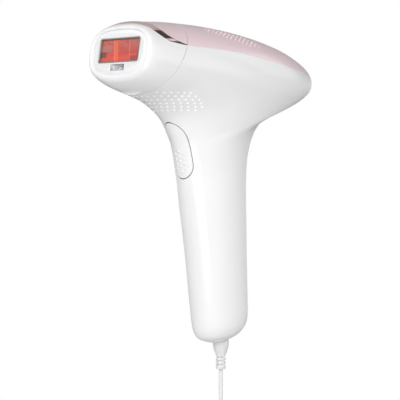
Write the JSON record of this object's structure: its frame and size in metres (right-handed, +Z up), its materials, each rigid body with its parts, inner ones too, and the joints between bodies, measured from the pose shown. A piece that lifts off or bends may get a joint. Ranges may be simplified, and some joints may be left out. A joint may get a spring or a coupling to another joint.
{
  "type": "ipl hair remover",
  "caption": "Hand-held pulsed-light hair remover: overhanging head with a window and skin sensor, pull-off nose, trigger button, fan-cooled lamp, lead and wall adapter.",
  "frame": {"origin": "middle of the grip, on the centre plane of the handle", "axes": "+Z up along the handle, -Y towards the light window, +Y towards the rear tip of the head, X across the device"},
  "size_m": [0.0638, 0.17, 0.2783],
  "materials": {
    "white_shell": "high gloss moulded plastic",
    "pearl_pink": "pearlescent gloss coating",
    "rose_gold_trim": "polished rose-gold plating",
    "face_plastic": "satin gloss plastic",
    "frame_metal": "satin die-cast metal",
    "filter_glass": "red long-pass filter glass",
    "mirror_metal": "polished reflector metal",
    "sensor_lens": "moulded faceted lens",
    "circuit_board": "solder-masked glass fibre",
    "dark_plastic": "fine matt moulded plastic",
    "frame_plastic": "matt moulded plastic",
    "contact_brass": "gold-flashed brass",
    "clear_glass": "polished clear glass",
    "ceramic": "unglazed ceramic",
    "steel": "bright drawn steel",
    "heat_sink_metal": "extruded and milled",
    "copper_coil": "varnished copper winding",
    "capacitor_sleeve": "heat-shrunk sleeve",
    "transformer_tape": "taped winding and ferrite core",
    "wire_red": "smooth wire jacket",
    "filter_mesh": "fine nylon mesh",
    "button_grey": "gloss moulded plastic",
    "light_guide": "frosted light guide",
    "plug_metal": "nickel plated",
    "cord_white": "satin flexible jacket",
    "tie_black": "soft strap"
  },
  "bodies": {
    "root": {"main_shell": "white_shell", "back_cover": "white_shell", "top_cover": "pearl_pink", "front_bulkhead": "frame_plastic", "contact_pins": "contact_brass", "uv_filter_glass": "clear_glass", "reflector": "mirror_metal", "flash_lamp": "clear_glass", "lamp_end_caps": "ceramic", "trigger_coil": "copper_coil", "heat_sink": "heat_sink_metal", "fan_frame": "dark_plastic", "inner_frame": "frame_plastic", "control_board": "circuit_board", "board_components": "dark_plastic", "power_switch": "dark_plastic", "ready_light_ring": "light_guide", "intensity_lights": "light_guide", "flash_pivot_pin": "steel", "flash_spring": "steel", "flash_switch": "dark_plastic", "capacitor": "capacitor_sleeve", "capacitor_clamp": "steel", "power_board": "circuit_board", "charging_transformer": "transformer_tape", "board_screws": "steel", "wiring_harness": "wire_red", "intake_filter": "filter_mesh", "exhaust_filter": "filter_mesh", "dc_jack": "dark_plastic", "plug_barrel": "plug_metal", "strain_relief": "cord_white", "supply_cord": "cord_white", "cord_coil": "cord_white", "cord_tie": "tie_black", "adapter_cord": "cord_white", "adapter_relief": "cord_white", "adapter_body": "white_shell", "adapter_cover": "white_shell", "mains_pins": "plug_metal"},
    "nose": {"nose_shell": "white_shell", "nose_top_panel": "pearl_pink", "nose_trim": "rose_gold_trim", "face_plate": "face_plastic", "window_frame": "frame_metal", "window_glass": "filter_glass", "light_tunnel": "mirror_metal", "sensor_lens": "sensor_lens", "sensor_board": "circuit_board", "nose_back_plate": "frame_plastic", "nose_pegs": "steel", "nose_contacts": "contact_brass"},
    "flash": {"flash_button": "white_shell", "flash_lever": "frame_plastic"},
    "power": {"power_button": "button_grey"},
    "fan": {"fan_rotor": "dark_plastic"}
  },
  "joints": [
    {"name": "nose_pull", "type": "slide", "parent": "root", "child": "nose", "axis": [0, -0.986, 0.1668], "range_m": [0, 0.03]},
    {"name": "flash_press", "type": "hinge", "parent": "root", "child": "flash", "pos_m": [0, -0.0276, 0.0645], "axis": [1, 0, 0], "range_deg": [0, 2.4], "stiffness_Nm_per_rad": 1.2, "springref_deg": -1.15},
    {"name": "power_press", "type": "slide", "parent": "root", "child": "power", "axis": [0, -1, 0], "range_m": [0, 0.0008], "stiffness_N_per_m": 1500, "springref_m": -0.0005},
    {"name": "fan_spin", "type": "hinge", "parent": "root", "child": "fan", "pos_m": [0, -0.004, 0.109], "axis": [0, 0, 1], "continuous": true}
  ]
}
